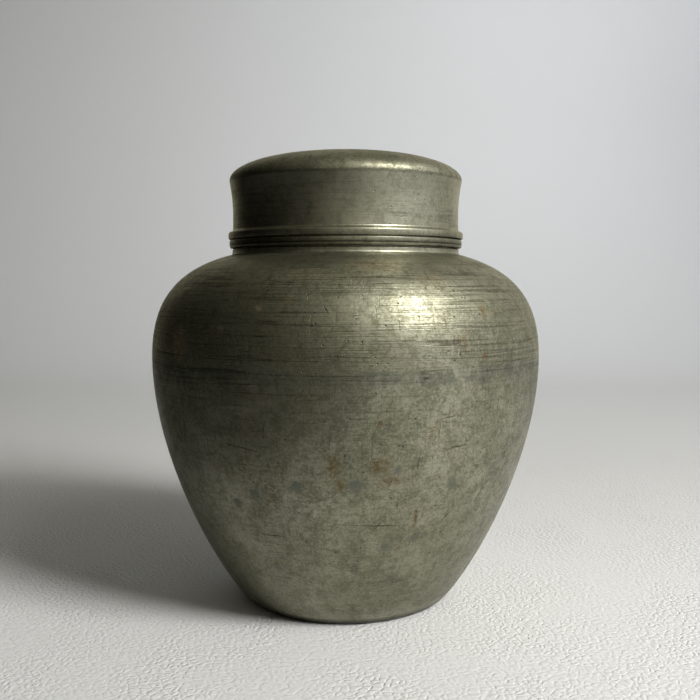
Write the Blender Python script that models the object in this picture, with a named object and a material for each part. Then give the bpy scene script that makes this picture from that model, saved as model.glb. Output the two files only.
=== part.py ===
"""A lidded pewter caddy: a body of two turned halves, a slip-on lid, and an inner lid that plugs the neck.

Metres, +Z up. The origin is the centre of the foot, on the surface that the caddy stands on.
Every piece is a solid of revolution about +Z, which is also the way that both lids lift off.
"""

import math

import bmesh
import bpy
from mathutils import Vector

SEGMENTS = 48  # round every piece
UP = Vector((0, 0, 1))

# Gaps between neighbouring pieces
SOLDER_GAP = 0.0003  # what solder fills, and what a resting piece keeps to its seat
SLIP_CLEARANCE = 0.0003  # lid waist to neck, on the radius
PLUG_CLEARANCE = 0.0003  # inner lid plug to neck bore, on the radius

# Body
BODY_RADIUS = 0.0580  # at the girth, the widest circle
GIRTH_HEIGHT = 0.0726  # where the two halves meet
SHOULDER_RISE = 0.0305  # from the girth to the top of the shoulder
BODY_WALL = 0.0016
BELLY_PULL = 0.36  # how long the lower half stays upright below the girth, as a share of its height
TAPER_PULL = 0.27  # how long it keeps the heel's slope, as a share of its height
SHOULDER_PULL_LOW = 0.49  # how long the upper half stays upright above the girth, as a share of its rise
SHOULDER_PULL_HIGH = 0.77  # how far out it keeps the shoulder's slope, as a share of its width
SHOULDER_SLOPE = math.radians(15)
GIRTH_LAP = 0.0025  # how far the upper half's lap reaches into the lower half
GIRTH_LAP_WALL = 0.0010

# Foot
FOOT_RADIUS = 0.0303
FOOT_WIDTH = 0.0037  # of the flat ring that the body stands on
HEEL_REACH = 0.0044  # from the foot's edge out to where the heel meets the belly
HEEL_HEIGHT = 0.0046
HEEL_SLOPE = math.radians(54.8)
HEEL_ROUNDING = 0.6  # how far the heel's curve fills its corner
BASE_PLATE_THICKNESS = 0.0012
BASE_PLATE_INSET = 0.0003

# Neck
NECK_RADIUS = 0.0321  # outside
NECK_WALL = 0.0012
NECK_REACH = 0.0118  # above the collar
NECK_TAIL = 0.0012  # below the shoulder's lip, inside the body
NECK_EDGE = 0.0002
LIP_WALL = 0.0017
LIP_HEIGHT = 0.00175
LIP_FILLET = 0.0005

# Collar, on which the lid rests
COLLAR_HEIGHT = 0.00225
COLLAR_INSET = 0.00035  # within the lid rim's radius
COLLAR_UNDERCUT = 0.0007  # how far its lower edge is turned in
COLLAR_BEVEL = 0.0002

# Lid
LID_WALL = 0.00145
LID_WAIST_HEIGHT = 0.0068  # of its narrowest circle above its lower edge
LID_HEADROOM = 0.0019  # from the inner lid's plate up to the dome's lap
LID_TOP_FLARE = 0.00093
LID_FOOT_FLARE = 0.00025
RIM_HEIGHT = 0.0025
RIM_WALL = 0.0009
RIM_BEVEL = 0.0003
DOME_RISE = 0.00825
DOME_WALL = 0.0015
DOME_FLATNESS = 2.4  # 2 is an ellipse; more is flatter on top and rounder at the edge
DOME_LAP = 0.0020  # how far the dome's lap reaches down inside the wall
DOME_LAP_WALL = 0.0010

# Inner lid
PLATE_THICKNESS = 0.0013
PLATE_INSET = 0.0004  # within the neck's outer radius
PLATE_EDGE = 0.00035
PLATE_RAISE = 0.0006  # of the embossed middle
PLATE_BAND = 0.0046  # flat band round the embossed middle
PLATE_STEP = 0.0010  # width of the slope between them
PLUG_DEPTH = 0.0060
PLUG_WALL = 0.0011
KNOB_HEIGHT = 0.0070
KNOB_RADIUS = 0.0052
KNOB_FOOT_RADIUS = 0.0036
KNOB_STEM_RADIUS = 0.0022

# Heights and radii that follow from the sizes above
SHOULDER_TOP = GIRTH_HEIGHT + SHOULDER_RISE
LIP_RADIUS = NECK_RADIUS + SOLDER_GAP + LIP_WALL
LIP_TOP = SHOULDER_TOP + LIP_HEIGHT
COLLAR_BASE = LIP_TOP + SOLDER_GAP
COLLAR_TOP = COLLAR_BASE + COLLAR_HEIGHT
NECK_TOP = COLLAR_TOP + NECK_REACH
LID_SEAT = COLLAR_TOP + SOLDER_GAP
LID_WALL_HEIGHT = NECK_REACH + PLATE_THICKNESS + LID_HEADROOM + DOME_LAP
INNER_LID_SEAT = NECK_TOP + SOLDER_GAP
LID_WAIST_RADIUS = NECK_RADIUS + SLIP_CLEARANCE + LID_WALL
LID_TOP_RADIUS = LID_WAIST_RADIUS + LID_TOP_FLARE
RIM_BORE = LID_WAIST_RADIUS + LID_FOOT_FLARE + SOLDER_GAP
RIM_RADIUS = RIM_BORE + RIM_WALL
COLLAR_RADIUS = RIM_RADIUS - COLLAR_INSET
PLATE_RADIUS = NECK_RADIUS - PLATE_INSET
PLUG_RADIUS = NECK_RADIUS - NECK_WALL - PLUG_CLEARANCE

# Colour and roughness of each finish, all metallic
FINISHES = {
    "aged": ((0.30, 0.29, 0.24, 1), 0.42),
    "worn": ((0.38, 0.37, 0.31, 1), 0.36),
    "sheltered": ((0.46, 0.45, 0.41, 1), 0.34),
}


def bezier(start, start_handle, end_handle, end, steps):
    """The points of a cubic curve in the (radius, height) plane, both ends included."""
    points = []
    for i in range(steps + 1):
        t = i / steps
        s = 1 - t
        points.append(s**3 * start + 3 * s * s * t * start_handle + 3 * s * t * t * end_handle + t**3 * end)
    return points


def rounded(start, corner, end, steps, fill=2 / 3):
    """A curve from start to end that leaves and arrives along the sides of their corner."""
    return bezier(start, start.lerp(corner, fill), end.lerp(corner, fill), end, steps)


def inset(points, distance):
    """An outline's points moved to the left of the way it runs, or to the right by a negative distance."""
    moved = []
    for i, point in enumerate(points):
        along = (points[min(i + 1, len(points) - 1)] - points[max(i - 1, 0)]).normalized()
        moved.append(point + distance * Vector((-along.y, along.x)))
    return moved


def pewter(name, finish):
    colour, roughness = FINISHES[finish]
    material = bpy.data.materials.new(f"{name}_pewter")
    material.use_nodes = True
    shader = material.node_tree.nodes["Principled BSDF"]
    shader.inputs["Base Color"].default_value = colour
    shader.inputs["Roughness"].default_value = roughness
    shader.inputs["Metallic"].default_value = 1.0
    material.diffuse_color = colour
    return material


def turned(name, outline, frame, finish):
    """Spins a closed (radius, height) outline into a solid. Its heights are measured from its frame."""
    mesh = bmesh.new()
    corners = [mesh.verts.new((point[0], 0, point[1])) for point in outline]
    sides = []
    for this, following in zip(corners, corners[1:] + corners[:1]):
        if this.co.x > 0 or following.co.x > 0:
            sides.append(mesh.edges.new((this, following)))
    bmesh.ops.spin(
        mesh, geom=corners + sides, cent=(0, 0, 0), axis=UP, angle=2 * math.pi, steps=SEGMENTS, use_merge=True
    )
    bmesh.ops.remove_doubles(mesh, verts=mesh.verts, dist=1e-6)
    bmesh.ops.recalc_face_normals(mesh, faces=mesh.faces)
    data = bpy.data.meshes.new(name)
    mesh.to_mesh(data)
    mesh.free()
    data.shade_smooth()
    data.set_sharp_from_angle(angle=math.radians(35))
    data.materials.append(pewter(name, finish))
    piece = bpy.data.objects.new(name, data)
    bpy.context.scene.collection.objects.link(piece)
    piece.parent = frame
    return piece


def group_frame(name, height):
    """An empty on the axis, at the height from which its pieces are measured."""
    frame = bpy.data.objects.new(name, None)
    frame.empty_display_size = 0.02
    frame.location = (0, 0, height)
    bpy.context.scene.collection.objects.link(frame)
    return frame


def lower_body(frame):
    """The belly, from the girth down to a turned-in foot."""
    girth = Vector((BODY_RADIUS, GIRTH_HEIGHT))
    heel = Vector((FOOT_RADIUS + HEEL_REACH, HEEL_HEIGHT))
    foot = Vector((FOOT_RADIUS, 0))
    slope = Vector((math.cos(HEEL_SLOPE), math.sin(HEEL_SLOPE)))
    height = GIRTH_HEIGHT - HEEL_HEIGHT
    upper_handle = girth - BELLY_PULL * height * Vector((0, 1))
    belly = bezier(girth, upper_handle, heel + TAPER_PULL * height * slope, heel, 11)
    corner = heel - slope * (HEEL_HEIGHT / slope.y)
    outer = belly + rounded(heel, corner, foot, 3, HEEL_ROUNDING)[1:]
    inner = inset(outer, -BODY_WALL)
    inner[0] = girth - Vector((BODY_WALL, 0))
    inner[-1] = foot + Vector((0, BODY_WALL))
    inner_edge = FOOT_RADIUS - FOOT_WIDTH
    outline = outer + [Vector((inner_edge, 0)), Vector((inner_edge, BODY_WALL))] + inner[::-1]
    return turned("lower_body", outline, frame, "aged")


def base_plate(frame):
    """The disc laid on the turned-in foot and soldered round its edge."""
    radius = FOOT_RADIUS - BASE_PLATE_INSET
    low = BODY_WALL + SOLDER_GAP
    high = low + BASE_PLATE_THICKNESS
    outline = [(0, low), (radius, low), (radius, high), (0, high)]
    return turned("base_plate", outline, frame, "sheltered")


def upper_body(frame):
    """The shoulder, with a lap into the lower half and an upright lip round the neck."""
    girth = Vector((BODY_RADIUS, GIRTH_HEIGHT + SOLDER_GAP))
    top = Vector((LIP_RADIUS + LIP_FILLET, SHOULDER_TOP))
    low_handle = girth + SHOULDER_PULL_LOW * SHOULDER_RISE * Vector((0, 1))
    high_handle = top + SHOULDER_PULL_HIGH * (girth.x - top.x) * Vector((1, -math.tan(SHOULDER_SLOPE)))
    shoulder = bezier(top, high_handle, low_handle, girth, 10)
    lip = Vector((LIP_RADIUS, LIP_TOP))
    root = Vector((LIP_RADIUS, SHOULDER_TOP + LIP_FILLET))
    fillet = rounded(root, Vector((LIP_RADIUS, SHOULDER_TOP)), top, 2)
    wall = inset(shoulder, -BODY_WALL)
    bore = NECK_RADIUS + SOLDER_GAP
    lip_base = wall[0].y + (wall[0].x - bore) * math.tan(SHOULDER_SLOPE)
    lap_radius = BODY_RADIUS - BODY_WALL - SOLDER_GAP
    lap_bore = lap_radius - GIRTH_LAP_WALL
    lap_top = girth.y + GIRTH_LAP
    above_lap = [point for point in wall if point.y > lap_top]
    lap = [
        Vector((lap_bore, lap_top)),
        Vector((lap_bore, GIRTH_HEIGHT - GIRTH_LAP)),
        Vector((lap_radius - SOLDER_GAP, GIRTH_HEIGHT - GIRTH_LAP)),
        Vector((lap_radius - SOLDER_GAP, girth.y)),
    ]
    inside = [Vector((bore, LIP_TOP)), Vector((bore, lip_base))] + above_lap + lap
    outline = [lip] + fillet + shoulder[1:] + inside[::-1]
    return turned("upper_body", outline, frame, "aged")


def neck_tube(frame):
    """The plain tube that the lid slides over and the inner lid plugs."""
    bore = NECK_RADIUS - NECK_WALL
    base = SHOULDER_TOP - BODY_WALL - NECK_TAIL
    outline = [
        (bore, base),
        (NECK_RADIUS, base),
        (NECK_RADIUS, NECK_TOP - NECK_EDGE),
        (NECK_RADIUS - NECK_EDGE, NECK_TOP),
        (bore, NECK_TOP),
    ]
    return turned("neck_tube", outline, frame, "sheltered")


def collar_ring(frame):
    """The ring round the neck that the lid rests on: an upright face above a turned-in bead."""
    bore = NECK_RADIUS + SOLDER_GAP
    waist = COLLAR_BASE + COLLAR_HEIGHT / 3
    bead = rounded(
        Vector((COLLAR_RADIUS - COLLAR_BEVEL / 2, waist)),
        Vector((COLLAR_RADIUS - COLLAR_BEVEL / 2, COLLAR_BASE)),
        Vector((COLLAR_RADIUS - COLLAR_UNDERCUT, COLLAR_BASE)),
        3,
    )
    face = [
        Vector((COLLAR_RADIUS - COLLAR_BEVEL, COLLAR_TOP)),
        Vector((COLLAR_RADIUS, COLLAR_TOP - COLLAR_BEVEL)),
        Vector((COLLAR_RADIUS, waist + COLLAR_BEVEL)),
    ]
    outline = [Vector((bore, COLLAR_BASE)), Vector((bore, COLLAR_TOP))] + face + bead
    return turned("collar_ring", outline, frame, "worn")


def lid_radius(height):
    """The outside of the lid's wall, which flares both ways from its waist."""
    if height > LID_WAIST_HEIGHT:
        share, flare = (height - LID_WAIST_HEIGHT) / (LID_WALL_HEIGHT - LID_WAIST_HEIGHT), LID_TOP_FLARE
    else:
        share, flare = (LID_WAIST_HEIGHT - height) / LID_WAIST_HEIGHT, LID_FOOT_FLARE
    return LID_WAIST_RADIUS + flare * share**2


def lid_wall(frame):
    """The concave side of the lid, whose waist slides on the neck."""
    steps = 7
    heights = [LID_WALL_HEIGHT * i / steps for i in range(steps + 1)]
    outer = [Vector((lid_radius(height), height)) for height in heights]
    inner = [Vector((lid_radius(height) - LID_WALL, height)) for height in heights]
    return turned("lid_wall", outer + inner[::-1], frame, "aged")


def lid_rim(frame):
    """The band soldered round the lid's lower edge."""
    outline = [
        (RIM_BORE, 0),
        (RIM_BORE, RIM_HEIGHT),
        (RIM_RADIUS - RIM_BEVEL, RIM_HEIGHT),
        (RIM_RADIUS, RIM_HEIGHT - RIM_BEVEL),
        (RIM_RADIUS, RIM_BEVEL),
        (RIM_RADIUS - RIM_BEVEL, 0),
    ]
    return turned("lid_rim", outline, frame, "worn")


def lid_top(frame):
    """The domed top of the lid, with a lap that reaches down inside the wall."""
    base = LID_WALL_HEIGHT + SOLDER_GAP
    steps = 9
    outer = []
    for i in range(steps + 1):
        turn = math.pi / 2 * i / steps
        radius = LID_TOP_RADIUS * math.cos(turn) ** (2 / DOME_FLATNESS)
        outer.append(Vector((radius if i < steps else 0, base + DOME_RISE * math.sin(turn))))
    ceiling = inset(outer, DOME_WALL)
    ceiling[-1] = outer[-1] - Vector((0, DOME_WALL))
    lap_radius = lid_radius(LID_WALL_HEIGHT - DOME_LAP) - LID_WALL - SOLDER_GAP
    lap_bore = lap_radius - DOME_LAP_WALL
    lap_top = base + DOME_WALL
    above_lap = [point for point in ceiling if point.y > lap_top and point.x < lap_bore]
    lap = [
        Vector((lap_bore, lap_top)),
        Vector((lap_bore, LID_WALL_HEIGHT - DOME_LAP)),
        Vector((lap_radius, LID_WALL_HEIGHT - DOME_LAP)),
        Vector((lap_radius, base)),
    ]
    return turned("lid_top", outer + above_lap[::-1] + lap, frame, "aged")


def inner_lid_plate(frame):
    """The flat lid on the neck's edge, its middle embossed upwards."""
    band = PLATE_RADIUS - PLATE_BAND
    middle = band - PLATE_STEP
    top = PLATE_THICKNESS
    outline = [
        (0, PLATE_RAISE),
        (middle, PLATE_RAISE),
        (band, 0),
        (PLATE_RADIUS - PLATE_EDGE, 0),
        (PLATE_RADIUS, PLATE_EDGE),
        (PLATE_RADIUS, top - PLATE_EDGE),
        (PLATE_RADIUS - PLATE_EDGE, top),
        (band, top),
        (middle, top + PLATE_RAISE),
        (0, top + PLATE_RAISE),
    ]
    return turned("inner_lid_plate", outline, frame, "sheltered")


def inner_lid_plug(frame):
    """The ring under the inner lid that fits in the neck."""
    bore = PLUG_RADIUS - PLUG_WALL
    top = -SOLDER_GAP
    outline = [
        (bore, top),
        (PLUG_RADIUS, top),
        (PLUG_RADIUS, top - PLUG_DEPTH + NECK_EDGE),
        (PLUG_RADIUS - NECK_EDGE, top - PLUG_DEPTH),
        (bore, top - PLUG_DEPTH),
    ]
    return turned("inner_lid_plug", outline, frame, "sheltered")


def inner_lid_knob(frame):
    """A turned button on a waisted stem."""
    foot = PLATE_THICKNESS + PLATE_RAISE + SOLDER_GAP
    stem = foot + KNOB_HEIGHT * 0.28
    widest = foot + KNOB_HEIGHT * 0.64
    top = foot + KNOB_HEIGHT
    base = Vector((KNOB_FOOT_RADIUS, foot))
    waist = rounded(base, Vector((KNOB_STEM_RADIUS, foot)), Vector((KNOB_STEM_RADIUS, stem)), 3)
    under = rounded(
        Vector((KNOB_STEM_RADIUS, stem)), Vector((KNOB_STEM_RADIUS, widest)), Vector((KNOB_RADIUS, widest)), 3
    )
    crown = rounded(Vector((KNOB_RADIUS, widest)), Vector((KNOB_RADIUS, top)), Vector((0, top)), 4)
    outline = [Vector((0, foot))] + waist + under[1:] + crown[1:]
    return turned("inner_lid_knob", outline, frame, "worn")


def main():
    for leftover in list(bpy.data.objects):
        bpy.data.objects.remove(leftover)
    jar = group_frame("jar_frame", 0)
    for make in (lower_body, base_plate, upper_body, neck_tube, collar_ring):
        make(jar)
    inner_lid = group_frame("inner_lid_frame", INNER_LID_SEAT)
    for make in (inner_lid_plate, inner_lid_plug, inner_lid_knob):
        make(inner_lid)
    lid = group_frame("lid_frame", LID_SEAT)
    for make in (lid_wall, lid_rim, lid_top):
        make(lid)


main()
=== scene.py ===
"""The look of a lidded pewter caddy: turned, soldered and aged metal on a pale sweep."""

import functools
import itertools
import math
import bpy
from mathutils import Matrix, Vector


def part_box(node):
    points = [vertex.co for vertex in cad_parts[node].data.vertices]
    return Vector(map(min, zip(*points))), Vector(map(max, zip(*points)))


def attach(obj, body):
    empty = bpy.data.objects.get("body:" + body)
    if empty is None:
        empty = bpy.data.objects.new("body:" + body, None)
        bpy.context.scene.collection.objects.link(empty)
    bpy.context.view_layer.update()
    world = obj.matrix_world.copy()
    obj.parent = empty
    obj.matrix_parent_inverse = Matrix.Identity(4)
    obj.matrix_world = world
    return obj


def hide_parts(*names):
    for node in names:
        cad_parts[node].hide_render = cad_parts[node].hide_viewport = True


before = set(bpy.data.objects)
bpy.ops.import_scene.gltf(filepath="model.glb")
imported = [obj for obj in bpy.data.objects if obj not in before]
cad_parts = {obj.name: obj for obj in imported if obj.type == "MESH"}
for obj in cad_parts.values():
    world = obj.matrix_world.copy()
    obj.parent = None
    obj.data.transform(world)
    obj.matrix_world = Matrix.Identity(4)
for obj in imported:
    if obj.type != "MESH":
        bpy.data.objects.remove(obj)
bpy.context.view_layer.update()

import types

import bmesh
import bpy
from mathutils import Vector

bl_info = {
    "name": "Pewter Caddy",
    "version": (1, 0, 0),
    "blender": (4, 5, 0),
    "location": "3D View > Sidebar > Caddy",
    "description": "Builds a turned pewter caddy with a slip-on lid and an inner lid, aged and stained",
    "category": "Object",
}

_, LOWER_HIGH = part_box("lower_body")
UPPER_LOW, UPPER_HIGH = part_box("upper_body")
BASE_LOW, BASE_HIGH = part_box("base_plate")
NECK_LOW, NECK_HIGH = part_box("neck_tube")
COLLAR_LOW, COLLAR_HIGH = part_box("collar_ring")
WALL_LOW, WALL_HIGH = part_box("lid_wall")
RIM_LOW, RIM_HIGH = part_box("lid_rim")
DOME_LOW, DOME_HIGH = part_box("lid_top")
PLATE_LOW, PLATE_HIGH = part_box("inner_lid_plate")
PLUG_LOW, PLUG_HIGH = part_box("inner_lid_plug")
KNOB_LOW, KNOB_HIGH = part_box("inner_lid_knob")

SEAM_GAP = 0.00002  # between the two halves of the body, in metres
SEAM_RISE = 0.00015  # of that seam above the lower half's CAD solid
LIP_RISE = 0.00175  # the neck's lip above the shoulder
LAP_WALL = 0.001  # of the laps inside the body and the lid
BODY_MIDDLE = 0.060  # heights that the body and the lid stray towards, so that their pieces stay joined
LID_MIDDLE = 0.118


def length(name, description, default):
    return bpy.props.FloatProperty(
        name=name, description=description, default=default, min=0, unit="LENGTH", subtype="DISTANCE", precision=5
    )


def share(name, description, default, high=1.0):
    return bpy.props.FloatProperty(name=name, description=description, default=default, min=0, max=high)


def slope(name, description, degrees):
    return bpy.props.FloatProperty(name=name, description=description, default=math.radians(degrees), subtype="ANGLE")


def power(name, default):
    return bpy.props.FloatProperty(name=name, description="Watts", default=default, min=0)


def colour(name, description, default):
    return bpy.props.FloatVectorProperty(
        name=name, description=description, default=default, subtype="COLOR", size=3, min=0, max=1
    )


class CaddySizes(bpy.types.PropertyGroup):
    """Sizes of the turned shapes that the frame doesn't give."""

    segments: bpy.props.IntProperty(name="Segments", description="Steps round every turned piece", default=192, min=24)
    wall: length("Wall", "Thickness of the body", 0.0016)
    girth_radius: length("Girth radius", "Widest circle of the body", LOWER_HIGH[0])
    girth_height: length("Girth height", "Where the two halves meet", LOWER_HIGH[2] + SEAM_RISE)
    shoulder_height: length("Shoulder height", "Where the shoulder meets the neck's lip", UPPER_HIGH[2] - LIP_RISE)
    lip_radius: length("Lip radius", "Outside of the upright lip under the collar", 0.0341)
    lip_fillet: length("Lip fillet", "Hollow curve between the lip and the shoulder", 0.0007)
    shoulder_slope: slope("Shoulder slope", "Fall of the shoulder beside the lip", 15)
    shoulder_pull_low: share("Low shoulder pull", "How long the shoulder stays upright above the girth", 0.49)
    shoulder_pull_high: share("High shoulder pull", "How far out the shoulder keeps its slope", 0.77)
    belly_pull: share("Belly pull", "How long the belly stays upright below the girth", 0.36)
    taper_pull: share("Taper pull", "How long the belly keeps the heel's slope", 0.27)
    heel_radius: length("Heel radius", "Where the belly meets the heel", 0.0347)
    heel_height: length("Heel height", "Height of that circle", 0.0046)
    heel_slope: slope("Heel slope", "Slope of the belly above the heel", 54.8)
    foot_radius: length("Foot radius", "Outside of the ring that the caddy stands on", 0.0303)
    foot_width: length("Foot width", "Width of that ring", 0.0037)
    lap_radius: length("Lap radius", "Outside of the lap inside the girth", 0.0558)
    waist_radius: length("Waist radius", "Narrowest circle of the lid's wall", 0.03385)
    waist_height: length("Waist height", "Height of that circle", WALL_LOW[2] + 0.0068)
    lid_sheet: length("Lid sheet", "Thickness of the lid's wall", 0.00145)
    dome_sheet: length("Dome sheet", "Thickness of the lid's dome", 0.0015)
    dome_flatness: share("Dome flatness", "2 is an ellipse, more is flatter", 2.4, 4.0)
    mark_depth: length("Tool mark depth", "Depth of the turning marks cut into the metal", 0.00002)
    unevenness: length("Unevenness", "How far hand-finished metal strays from the true shape", 0.00012)


class CaddyColours(bpy.types.PropertyGroup):
    """Colours of the finishes and of the stage."""

    # Also used for painted highlights on the neck's fillet and in the lid band's hollow.
    bright: colour("Bright pewter", "Where handling keeps the metal bright", (0.47, 0.463, 0.368))
    plain: colour("Plain pewter", "Most of the metal", (0.335, 0.329, 0.242))
    # Also used for the painted shade that darkens the belly towards the bottom.
    dark: colour("Dark patina", "Where the metal has greyed", (0.165, 0.163, 0.110))
    blue: colour("Blue patina", "Bluish grey by the seam and in the round spots", (0.150, 0.161, 0.140))
    rust: colour("Brown stain", "Rusty stains", (0.135, 0.084, 0.022))
    # Also used for the painted shade on the heel, where it mirrors the shadowed floor.
    soot_and_shade: colour("Grime", "Dirt in gaps, pits and scratches", (0.035, 0.030, 0.020))
    clean: colour("Clean pewter", "Inside, out of the air", (0.52, 0.51, 0.45))
    solder: colour("Solder", "Solder at the joints", (0.44, 0.44, 0.40))
    floor: colour("Floor", "The pale sweep", (0.80, 0.80, 0.79))


# Outlines: lists of (radius, height, mark, wear, grime). Mark is how strongly turned; wear is how bright, from
# handling, and on the neck's fillet and the lid band's hollow a painted highlight; grime is how dirty, and on the heel
# a painted shade where it meets the floor.


def at(radius, height):
    return Vector((radius, height))


def bezier(start, start_handle, end_handle, end, steps):
    points = []
    for i in range(steps + 1):
        t = i / steps
        s = 1 - t
        points.append(s**3 * start + 3 * s * s * t * start_handle + 3 * s * t * t * end_handle + t**3 * end)
    return points


def bend(start, corner, end, steps=4, fill=0.552):
    """A curve that leaves start and reaches end along the sides of their corner."""
    return bezier(start, start.lerp(corner, fill), end.lerp(corner, fill), end, steps)


def inset(points, distance):
    """Points moved to the left of the way their line runs, or to the right by a negative distance."""
    moved = []
    for i, point in enumerate(points):
        along = (points[min(i + 1, len(points) - 1)] - points[max(i - 1, 0)]).normalized()
        moved.append(point + distance * Vector((-along.y, along.x)))
    return moved


def stretch(points, mark=0.3, wear_and_highlight=0.0, grime_and_shade=0.0):
    return [(point.x, point.y, mark, wear_and_highlight, grime_and_shade) for point in points]


def joined(*stretches):
    """Stretches in one line, without the doubled points where they meet."""
    line = []
    for points in stretches:
        for point in points:
            if not line or math.dist(point[:2], line[-1][:2]) > DOUBLED:
                line.append(point)
    return line


# Node trees

MILLIMETRES = 1000.0  # in a metre: the finishes are written in millimetres


def emptied(owner):
    """The node tree of a material or a world, ready to be filled."""
    owner.use_nodes = True
    owner.node_tree.nodes.clear()
    return owner.node_tree


class Tree:
    """Adds nodes to a tree, so that a finish or a shape reads as a list of steps."""

    def __init__(self, tree):
        self.tree = tree

    def node(self, kind, inputs=None, **settings):
        made = self.tree.nodes.new(kind)
        for name, value in settings.items():
            setattr(made, name, value)
        for key, value in (inputs or {}).items():
            if isinstance(value, bpy.types.NodeSocket):
                self.tree.links.new(value, made.inputs[key])
            else:
                made.inputs[key].default_value = value
        return made

    def math(self, operation, *values, clamp=False):
        return self.node("ShaderNodeMath", dict(enumerate(values)), operation=operation, use_clamp=clamp).outputs[0]

    def product(self, *values):
        return functools.reduce(lambda result, value: self.math("MULTIPLY", result, value), values)

    def total(self, *values):
        return functools.reduce(lambda result, value: self.math("ADD", result, value), values)

    def most(self, *values):
        return functools.reduce(lambda result, value: self.math("MAXIMUM", result, value), values)

    def vector(self, operation, *values):
        made = self.node("ShaderNodeVectorMath", dict(enumerate(values)), operation=operation)
        return made.outputs[1] if operation in ("LENGTH", "DOT_PRODUCT", "DISTANCE") else made.outputs[0]

    def scaled(self, vector, scale):
        return self.node("ShaderNodeVectorMath", {0: vector, "Scale": scale}, operation="SCALE").outputs[0]

    def moved(self, vector, *by):
        return self.vector("ADD", vector, by)

    def combined(self, **axes):
        """A vector from its X, Y and Z."""
        return self.node("ShaderNodeCombineXYZ", axes).outputs[0]

    def place(self):
        """Where a surface is on its object, in millimetres."""
        return self.scaled(self.node("ShaderNodeTexCoord").outputs["Object"], MILLIMETRES)

    def split(self, vector):
        return self.node("ShaderNodeSeparateXYZ", {0: vector}).outputs

    def noise(self, place, size, detail=3.0, roughness=0.5, distortion=0.0):
        """Cloudy noise from 0 to 1 whose features are about size long, in the units of place."""
        return self.node(
            "ShaderNodeTexNoise",
            {"Vector": place, "Scale": 1 / size, "Detail": detail, "Roughness": roughness, "Distortion": distortion},
        ).outputs[0]

    def cells(self, place, size, feature="F1"):
        return self.node("ShaderNodeTexVoronoi", {"Vector": place, "Scale": 1 / size}, feature=feature)

    def ramp(self, value, low, high, to_low=0.0, to_high=1.0):
        """A soft step from to_low to to_high as the value goes from low to high."""
        return self.node(
            "ShaderNodeMapRange",
            {"Value": value, "From Min": low, "From Max": high, "To Min": to_low, "To Max": to_high},
            interpolation_type="SMOOTHSTEP",
        ).outputs[0]

    def distance_from(self, value, level):
        return self.math("ABSOLUTE", self.math("SUBTRACT", value, level))

    def blend(self, factor, below, above):
        def rgba(value):
            return value if isinstance(value, bpy.types.NodeSocket) else (*value, 1.0)

        inputs = {0: factor, 6: rgba(below), 7: rgba(above)}
        return self.node("ShaderNodeMix", inputs, data_type="RGBA").outputs[2]

    def attribute(self, name):
        return self.node("ShaderNodeAttribute", attribute_name=name).outputs["Fac"]

    def surface(self, colour, roughness, height, depth, metallic=0.0):
        """Ends a material: its colour, how rough and how metallic it is, and a height for its fine relief."""
        normal = self.node("ShaderNodeBump", {"Height": height, "Distance": depth}).outputs[0]
        inputs = {"Base Color": colour, "Metallic": metallic, "Roughness": roughness, "Normal": normal}
        shader = self.node("ShaderNodeBsdfPrincipled", inputs)
        self.node("ShaderNodeOutputMaterial", {0: shader.outputs[0]})


# The turning: one geometry tree that spins an outline into a solid

MARK_SPACING = 0.0008  # between the lathe's marks, in metres
SHARP_ANGLE = math.radians(38)  # edges sharper than this stay crisp
DOUBLED = 8e-6  # points of an outline closer than this are one point
WELDED = 1e-6  # points of a turned shape closer than this are one point
# The last two also carry painted highlight and painted shade on a few stretches.
LOOKS = ("mark", "wear_and_highlight", "grime_and_shade")  # what each point of an outline says about the metal


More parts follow.
